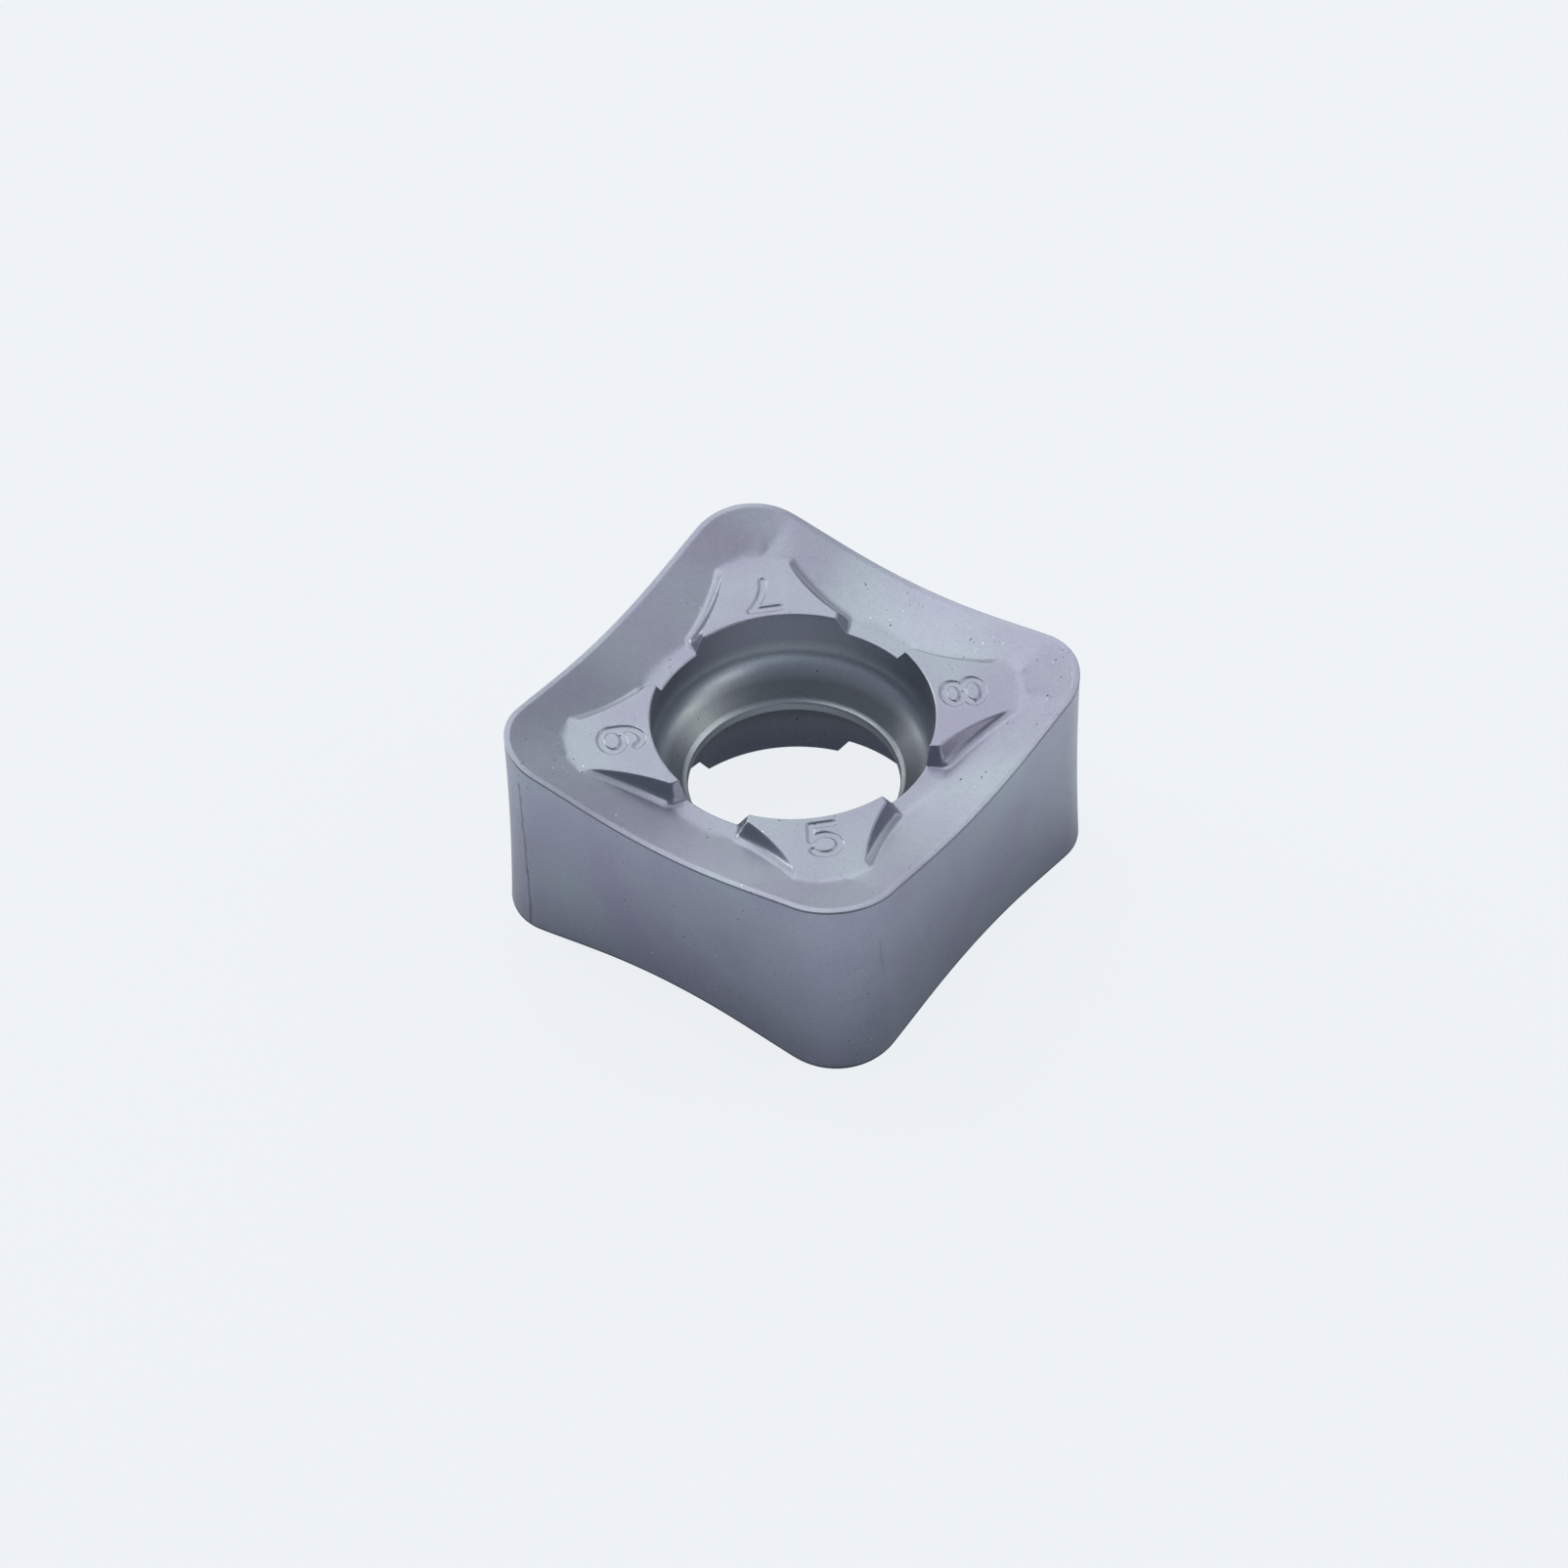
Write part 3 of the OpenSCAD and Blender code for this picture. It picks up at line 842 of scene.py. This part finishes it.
def coatedCarbide():
    look, dark = coatingLook, linearColour(pinholeLook["colour"])
    material, tree = emptyMaterial("nitride coated carbide")
    coords = addNode(tree, "ShaderNodeTexCoord").outputs["Object"]
    axes = addNode(tree, "ShaderNodeSeparateXYZ", {0: coords}).outputs
    flat = addNode(tree, "ShaderNodeCombineXYZ", {"X": axes["X"], "Y": axes["Y"]}).outputs[0]
    radius = vectorNode(tree, "LENGTH", flat)["Value"]

    # The coating's own drift between violet and blue grey
    tone = rangeNode(tree, noiseNode(tree, coords, look["toneSize"], 3.0, 0.55), look["toneRange"])
    colour = mixColour(tree, tone, linearColour(look["violet"]), linearColour(look["blue"]))
    colour = flankPaintedShade(tree, axes, radius, colour)
    colour = boreLightAndShade(tree, axes, radius, colour)

    # Fine mottling of the sintered skin, then rub marks, painted highlights on the pin holes' rims, and
    # pin holes
    mottle = noiseNode(tree, coords, look["mottleSize"], 3.0, 0.7)
    colour = scaledVector(tree, colour, rangeNode(tree, mottle, look["grainRange"], look["mottleLevels"]))
    for mark in rubMarks:
        colour = mixColour(tree, rubShare(tree, axes, coords, mark), colour, dark)
    patches = noiseNode(tree, coords, look["patchSize"], 1.0)
    patches = rangeNode(tree, patches, look["patchRange"], look["patchLevels"])
    # Painted highlights: bright glints on the rims of the pin holes
    bright = spotShare(tree, coords, patches, paintedGlintLook)
    colour = mixColour(tree, bright, colour, linearColour(paintedGlintLook["colour"]))
    pinhole = spotShare(tree, coords, patches, pinholeLook)
    colour = mixColour(tree, pinhole, colour, dark)

    grain = noiseNode(tree, coords, look["grainSize"], 2.0)
    relief = addNode(tree, "ShaderNodeBump", {"Height": grain, "Distance": look["grainHeight"] * mm})
    relief = addNode(tree, "ShaderNodeBump", {
        "Height": pinhole, "Distance": pinholeLook["depth"] * mm,
        "Normal": relief.outputs[0]}, invert=True)
    surface = addNode(tree, "ShaderNodeBsdfPrincipled", {
        "Base Color": colour, "Metallic": look["metallic"],
        "Roughness": rangeNode(tree, grain, look["grainRange"], look["roughness"]),
        "Normal": relief.outputs[0]})
    addNode(tree, "ShaderNodeOutputMaterial", {"Surface": surface.outputs[0]})
    return material


# A pale floor under soft boxes: each lamp has its azimuth from +X and its elevation in degrees
studioSizes = {
    "floorHalf": 1.2,
    "floorColour": "#f0f4f8",
    "cameraWhiteness": 0.94,
    "glossyWhiteness": 0.14,
    "worldColour": "#e0e8ff",
    "worldStrength": 0.15,
    "lampColour": "#fffef2",
    "lampDistance": 0.4,
    "lampSize": 0.24,
    "lamps": [
        {"name": "front", "azimuth": 0, "elevation": 15, "power": 0.187},
        {"name": "right", "azimuth": 45, "elevation": 40, "power": 0.305},
        {"name": "rearLow", "azimuth": 90, "elevation": 15, "power": 0.224},
        {"name": "rearHigh", "azimuth": 90, "elevation": 65, "power": 0.128},
        {"name": "backLow", "azimuth": 135, "elevation": 15, "power": 0.138},
        {"name": "backHigh", "azimuth": 135, "elevation": 40, "power": 0.3},
        {"name": "left", "azimuth": 180, "elevation": 15, "power": 0.715},
        {"name": "leftHigh", "azimuth": 180, "elevation": 65, "power": 0.393},
    ],
}


# Share of the plain background colour in what a ray sees, so that paper and backdrop stay pale to
# the camera, and partly so in the metal's reflections, while the paper keeps the insert's shadow
def plainShare(tree, cameraShare):
    rays = addNode(tree, "ShaderNodeLightPath").outputs
    seen = mathNode(tree, "MULTIPLY", rays["Is Camera Ray"], cameraShare)
    return mathNode(tree, "MULTIPLY_ADD", rays["Is Glossy Ray"], studioSizes["glossyWhiteness"], seen)


def paperMaterial():
    material, tree = emptyMaterial("white paper")
    colour = linearColour(studioSizes["floorColour"])
    paper = addNode(tree, "ShaderNodeBsdfDiffuse", {"Color": colour})
    plain = addNode(tree, "ShaderNodeEmission", {"Color": colour})
    mixed = addNode(tree, "ShaderNodeMixShader", {
        0: plainShare(tree, studioSizes["cameraWhiteness"]), 1: paper.outputs[0], 2: plain.outputs[0]})
    addNode(tree, "ShaderNodeOutputMaterial", {"Surface": mixed.outputs[0]})
    return material


# Soft even light from all round, in front of a plain backdrop of the paper's colour
def buildWorld():
    look = studioSizes
    world = bpy.data.worlds.new("studioWorld")
    bpy.context.scene.world = world
    world.use_nodes = True
    tree = world.node_tree
    tree.nodes.clear()
    light = addNode(tree, "ShaderNodeBackground", {
        "Color": linearColour(look["worldColour"]), "Strength": look["worldStrength"]})
    plain = addNode(tree, "ShaderNodeBackground", {
        "Color": linearColour(look["floorColour"]), "Strength": 1.0})
    mixed = addNode(tree, "ShaderNodeMixShader", {
        0: plainShare(tree, 1.0), 1: light.outputs[0], 2: plain.outputs[0]})
    addNode(tree, "ShaderNodeOutputWorld", {"Surface": mixed.outputs[0]})


def buildStudio(floorZ):
    look, half = studioSizes, studioSizes["floorHalf"]
    mesh = bpy.data.meshes.new("studioFloor")
    corners = [(x * half, y * half, floorZ) for x, y in ((-1, -1), (1, -1), (1, 1), (-1, 1))]
    mesh.from_pydata(corners, [], [(0, 1, 2, 3)])
    floor = bpy.data.objects.new("studioFloor", mesh)
    bpy.context.collection.objects.link(floor)
    mesh.materials.append(paperMaterial())

    buildWorld()
    for lamp in look["lamps"]:
        light = bpy.data.lights.new(lamp["name"], "AREA")
        light.size = look["lampSize"]
        light.energy = lamp["power"]
        light.color = linearColour(look["lampColour"])[:3]
        azimuth, elevation = radians(lamp["azimuth"]), radians(lamp["elevation"])
        away = Vector((cos(azimuth) * cos(elevation), sin(azimuth) * cos(elevation), sin(elevation)))
        holder = bpy.data.objects.new(lamp["name"], light)
        holder.location = away * look["lampDistance"]
        holder.rotation_euler = away.to_track_quat("Z", "Y").to_euler()
        bpy.context.collection.objects.link(holder)


# The photograph's camera, found from the insert's outline: a long lens from above one corner
cameraPlace = {
    "azimuth": 35.667,
    "elevation": 45.905,
    "roll": -1.215,
    "distance": 0.25577,
    "lens": 208.31,
    "sensor": 36.0,
    "shiftRight": 10.49,
    "shiftUp": 1.74,
    "clipStart": 0.01,
    "framePixels": 1604,
}


def placeCamera():
    look = cameraPlace
    azimuth, elevation = radians(look["azimuth"]), radians(look["elevation"])
    roll = radians(look["roll"])
    back = Vector((sin(azimuth) * cos(elevation), -cos(azimuth) * cos(elevation), sin(elevation)))
    right = Vector((cos(azimuth), sin(azimuth), 0.0))
    up = back.cross(right)
    axisX = right * cos(roll) + up * sin(roll)
    axisY = up * cos(roll) - right * sin(roll)
    lens = bpy.data.cameras.new("camera")
    lens.lens = look["lens"]
    lens.sensor_width = look["sensor"]
    lens.clip_start = look["clipStart"]
    lens.shift_x = -look["shiftRight"] / look["framePixels"]
    lens.shift_y = -look["shiftUp"] / look["framePixels"]
    camera = bpy.data.objects.new("camera", lens)
    matrix = Matrix((axisX, axisY, back)).transposed().to_4x4()
    matrix.translation = back * look["distance"]
    camera.matrix_world = matrix
    bpy.context.collection.objects.link(camera)
    bpy.context.scene.camera = camera


bpy.context.scene.view_settings.view_transform = "Standard"
placeCamera()
print("camera placed")

carbide = coatedCarbide()
insert = buildInsert(carbide)
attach(insert, "root")
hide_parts("insert_body")
insert.data.calc_loop_triangles()
print("insert built, triangles", len(insert.data.loop_triangles))

buildStudio(-insertSizes["height"] / 2 * mm)
print("studio built")
